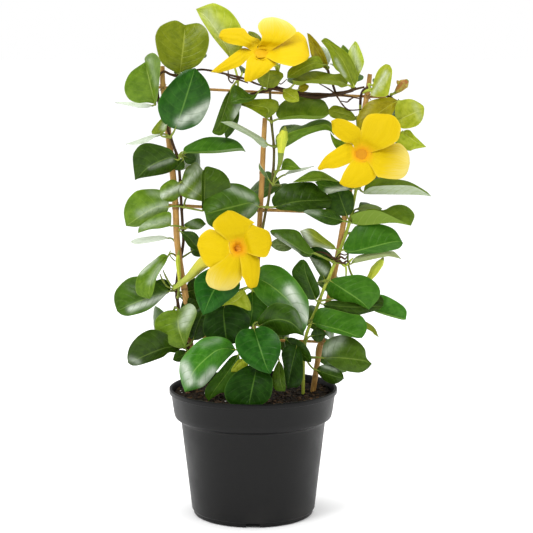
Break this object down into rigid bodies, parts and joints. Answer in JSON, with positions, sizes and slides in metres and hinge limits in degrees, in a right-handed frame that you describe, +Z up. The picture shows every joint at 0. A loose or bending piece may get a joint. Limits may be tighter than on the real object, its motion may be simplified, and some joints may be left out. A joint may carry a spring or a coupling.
{
  "type": "potted mandevilla",
  "caption": "Flowering mandevilla vine with yellow trumpet flowers, trained on a bamboo cane trellis in a round plastic nursery pot with soil.",
  "frame": {"origin": "centre of the pot's flat base, on the surface that it stands on", "axes": "+Z up along the pot's axis, -Y towards the plant's front, +X to the plant's right as seen from the front"},
  "size_m": [0.3196, 0.171, 0.5117],
  "materials": {
    "pot_plastic": "satin moulded",
    "potting_soil": "moist peat and bark crumbs",
    "bamboo": "smooth cane skin",
    "stem": "young bark",
    "leaf": "glossy",
    "petal": "soft satin",
    "green_stalk": "satin"
  },
  "bodies": {
    "root": {"pot": "pot_plastic", "potting_soil": "potting_soil", "cane_left": "bamboo", "cane_middle": "bamboo", "cane_right": "bamboo", "rung_upper": "bamboo", "rung_middle": "bamboo", "rung_lower": "bamboo", "left_vine": "stem", "middle_vine": "stem", "right_vine": "stem", "leaves_left_01": "leaf", "leaves_left_02": "leaf", "leaves_left_03": "leaf", "leaves_left_04": "leaf", "leaves_left_05": "leaf", "leaves_left_06": "leaf", "leaves_left_07": "leaf", "leaves_left_08": "leaf", "leaves_left_09": "leaf", "leaves_left_10": "leaf", "leaves_left_11": "leaf", "leaves_top_01": "leaf", "leaves_top_02": "leaf", "leaves_top_03": "leaf", "leaves_top_04": "leaf", "leaves_top_05": "leaf", "leaves_middle_01": "leaf", "leaves_middle_02": "leaf", "leaves_middle_03": "leaf", "leaves_middle_04": "leaf", "leaves_front_01": "leaf", "leaves_front_02": "leaf", "leaves_front_03": "leaf", "leaves_front_04": "leaf", "leaves_front_05": "leaf", "leaves_front_06": "leaf", "leaves_right_01": "leaf", "leaves_right_02": "leaf", "leaves_right_03": "leaf", "leaves_right_04": "leaf", "leaves_right_05": "leaf", "leaves_right_06": "leaf", "leaves_right_07": "leaf", "leaves_right_08": "leaf", "leaves_right_09": "leaf", "leaves_right_10": "leaf", "leaves_right_11": "leaf", "leaves_right_12": "leaf", "leaves_right_13": "leaf", "flower_top": "petal", "flower_right": "petal", "flower_low": "petal", "flower_stalk_top": "green_stalk", "flower_stalk_right": "green_stalk", "flower_stalk_low": "green_stalk", "bud_middle": "green_stalk", "bud_left": "green_stalk", "bud_right": "green_stalk", "bud_cluster_top": "green_stalk"}
  },
  "joints": []
}
